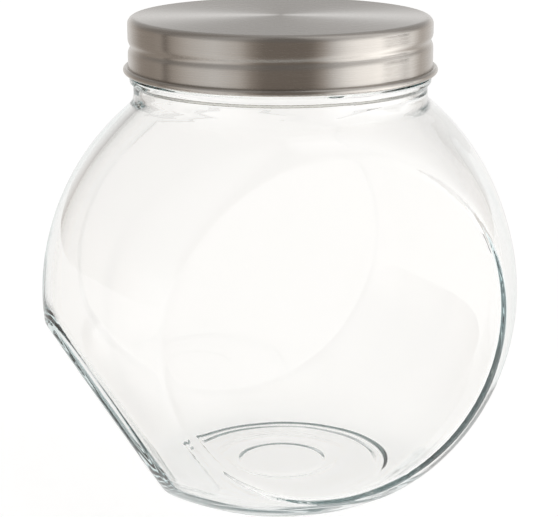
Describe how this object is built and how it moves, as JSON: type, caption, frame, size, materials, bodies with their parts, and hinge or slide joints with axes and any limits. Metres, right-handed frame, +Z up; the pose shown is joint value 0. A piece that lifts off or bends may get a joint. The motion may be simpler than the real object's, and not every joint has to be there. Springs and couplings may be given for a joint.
{
  "type": "glass jar with screw lid",
  "caption": "Ball-shaped clear glass jar with flat front and back, a tilting facet at the base and a brushed steel screw lid.",
  "frame": {"origin": "middle of the base, on the axis of the neck, at the level of the table", "axes": "+Z up along the axis of the neck; the flat faces look along -Y and +Y; the tilting facet is towards -X"},
  "size_m": [0.181, 0.129, 0.177],
  "materials": {
    "clear_glass": "clear soda-lime glass, glossy, faint green at the edges",
    "brushed_steel": "brushed, satin",
    "white_foam": "matte polyethylene foam"
  },
  "bodies": {
    "jar": {"glass_jar": "clear_glass"},
    "liner": {"sealing_disc": "white_foam"},
    "lid": {"lid_shell": "brushed_steel"}
  },
  "joints": [
    {"name": "lid_rise", "type": "slide", "parent": "jar", "child": "liner", "axis": [0, 0, 1], "range_m": [0, 0.02033]},
    {"name": "lid_turn", "type": "hinge", "parent": "liner", "child": "lid", "pos_m": [0, 0, 0.177], "axis": [0, 0, 1], "range_deg": [0, 1440]}
  ],
  "couplings": [
    {"joint": "lid_rise", "follows": "lid_turn", "m_per_rad": 0.00080851}
  ]
}
